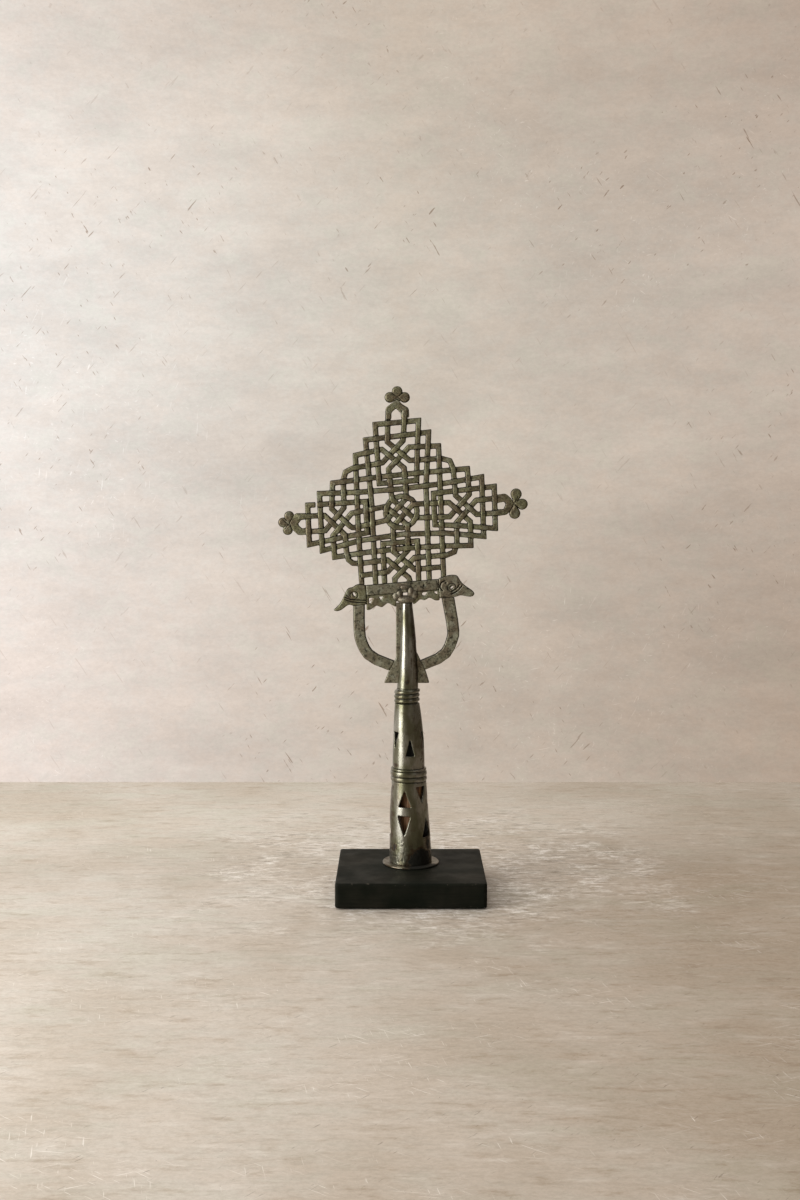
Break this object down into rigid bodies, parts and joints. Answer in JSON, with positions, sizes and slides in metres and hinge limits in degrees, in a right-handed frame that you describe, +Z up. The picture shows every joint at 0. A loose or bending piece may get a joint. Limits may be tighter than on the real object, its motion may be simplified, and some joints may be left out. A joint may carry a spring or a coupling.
{
  "type": "ethiopian cross",
  "caption": "Interlaced cast-bronze processional cross on a pierced white-metal staff socket, standing on a dowel in a dark wooden block.",
  "frame": {"origin": "on the underside of the stand, on the axis of the dowel and of the socket's foot", "axes": "+Z up along the staff socket, +X to the viewer's right, the front faces -Y"},
  "size_m": [0.2021, 0.106, 0.4121],
  "materials": {
    "bronze": "dark patina",
    "white_metal": "tarnished",
    "ebonised_wood": "satin",
    "pale_wood": "bare",
    "felt": "matte",
    "steel": "zinc plated"
  },
  "bodies": {
    "stand": {"plinth_block": "ebonised_wood", "base_felt": "felt", "stand_screw": "steel"},
    "dowel": {"staff_dowel": "pale_wood"},
    "cross": {"foot_flange": "white_metal", "lower_stage": "white_metal", "middle_collar": "white_metal", "middle_stage": "white_metal", "upper_collar": "white_metal", "socket_cone": "white_metal", "stem_plate": "bronze", "braze_joint": "bronze", "crossbar": "bronze", "bird_head_left": "bronze", "bird_head_right": "bronze", "loop_arm_left": "bronze", "loop_arm_right": "bronze", "fringe_left": "bronze", "fringe_right": "bronze", "lattice": "bronze", "finial_top": "bronze", "finial_left": "bronze", "finial_right": "bronze"}
  },
  "joints": [
    {"name": "cross_turn", "type": "hinge", "parent": "stand", "child": "dowel", "pos_m": [0, 0, 0.021], "axis": [0, 0, 1], "continuous": true},
    {"name": "cross_lift", "type": "slide", "parent": "dowel", "child": "cross", "axis": [0, 0, 1], "range_m": [0, 0.08]}
  ]
}
